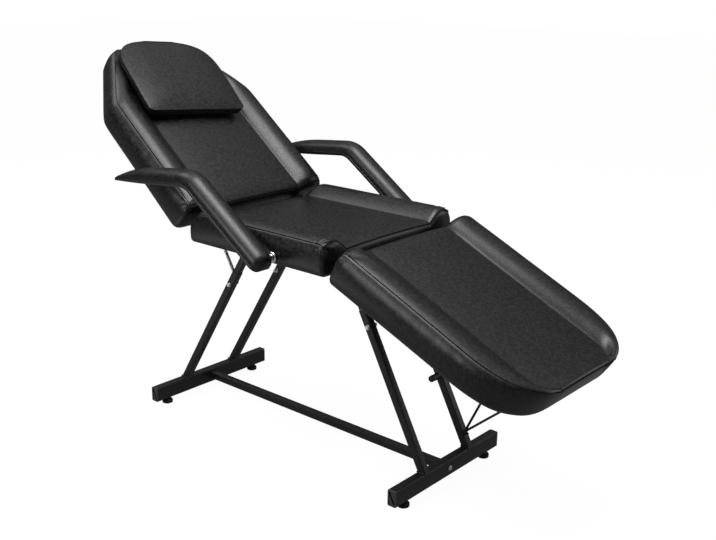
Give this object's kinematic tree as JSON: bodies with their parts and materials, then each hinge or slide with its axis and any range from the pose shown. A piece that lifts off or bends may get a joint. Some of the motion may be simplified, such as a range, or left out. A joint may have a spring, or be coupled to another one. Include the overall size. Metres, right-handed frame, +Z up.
{
  "type": "reclining salon treatment chair",
  "caption": "Padded recliner for salon or tattoo work: fixed seat on a steel leg frame, tilting back with head pillow, dropping leg rest, swing-up arm rests and wire stays.",
  "frame": {"origin": "on the floor under the middle of the whole chair's box, back at its pictured angle and leg rest down", "axes": "+X towards the foot end of the leg rest, +Y towards the sitter's left side, +Z up"},
  "size_m": [1.7928, 0.76, 1.1893],
  "materials": {
    "upholstery": "satin",
    "black_steel": "satin",
    "end_plug": "matte",
    "rubber": "matte",
    "zinc": "satin",
    "chrome": "polished",
    "board": "matte"
  },
  "bodies": {
    "base": {"beam_front": "black_steel", "stretcher_bolt_front": "zinc", "plug_front_near": "end_plug", "foot_front_near": "rubber", "leg_front_near": "black_steel", "stub_front_near": "black_steel", "leg_bolt_front_near": "zinc", "plug_front_far": "end_plug", "foot_front_far": "rubber", "leg_front_far": "black_steel", "stub_front_far": "black_steel", "leg_bolt_front_far": "zinc", "beam_rear": "black_steel", "stretcher_bolt_rear": "zinc", "plug_rear_near": "end_plug", "foot_rear_near": "rubber", "leg_rear_near": "black_steel", "stub_rear_near": "black_steel", "leg_bolt_rear_near": "zinc", "plug_rear_far": "end_plug", "foot_rear_far": "rubber", "leg_rear_far": "black_steel", "stub_rear_far": "black_steel", "leg_bolt_rear_far": "zinc", "stretcher": "black_steel", "leg_knob": "black_steel", "seat_rail_near": "black_steel", "seat_rail_far": "black_steel", "seat_board": "board", "seat_cushion": "upholstery", "back_ear_near": "black_steel", "back_ear_far": "black_steel", "leg_ear_near": "black_steel", "leg_ear_far": "black_steel", "arm_spacer_near": "chrome", "arm_spacer_far": "chrome", "front_peg": "black_steel", "rear_peg": "black_steel"},
    "back": {"back_board": "board", "back_cushion": "upholstery", "back_hinge_near": "black_steel", "back_hinge_far": "black_steel", "rear_stay_track": "black_steel"},
    "pillow": {"pillow": "upholstery"},
    "leg": {"leg_board": "board", "leg_cushion": "upholstery", "leg_hinge_near": "black_steel", "leg_hinge_far": "black_steel", "front_stay_track": "black_steel"},
    "front_stay": {"front_stay_prop": "black_steel", "front_stay_brace": "black_steel", "front_stay_slider": "black_steel"},
    "rear_stay": {"rear_stay_prop": "zinc", "rear_stay_brace": "zinc", "rear_stay_slider": "black_steel"},
    "arm_near": {"arm_pad_near": "upholstery", "arm_core_near": "board"},
    "arm_far": {"arm_pad_far": "upholstery", "arm_core_far": "board"}
  },
  "joints": [
    {"name": "back_tilt", "type": "hinge", "parent": "base", "child": "back", "pos_m": [-0.3151, 0, 0.7035], "axis": [0, 1, 0], "range_deg": [-38.4, 19]},
    {"name": "leg_tilt", "type": "hinge", "parent": "base", "child": "leg", "pos_m": [0.2489, 0, 0.626], "axis": [0, -1, 0], "range_deg": [0, 24.4]},
    {"name": "pillow_lift", "type": "slide", "parent": "back", "child": "pillow", "axis": [0.6211, 0, 0.7837], "range_m": [0, 0.12]},
    {"name": "front_stay_slide", "type": "slide", "parent": "leg", "child": "front_stay", "axis": [0.9107, 0, -0.4131], "range_m": [-0.2625, 0]},
    {"name": "rear_stay_slide", "type": "slide", "parent": "back", "child": "rear_stay", "axis": [-0.7837, 0, 0.6211], "range_m": [-0.064, 0.128]},
    {"name": "arm_swing_near", "type": "hinge", "parent": "base", "child": "arm_near", "pos_m": [0.0549, -0.35, 0.666], "axis": [0, 1, 0], "range_deg": [0, 90]},
    {"name": "arm_swing_far", "type": "hinge", "parent": "base", "child": "arm_far", "pos_m": [0.0549, 0.35, 0.666], "axis": [0, 1, 0], "range_deg": [0, 90]}
  ],
  "couplings": [
    {"joint": "front_stay_slide", "follows": "leg_tilt", "m_per_rad": -0.6139},
    {"joint": "rear_stay_slide", "follows": "back_tilt", "m_per_rad": -0.19}
  ]
}
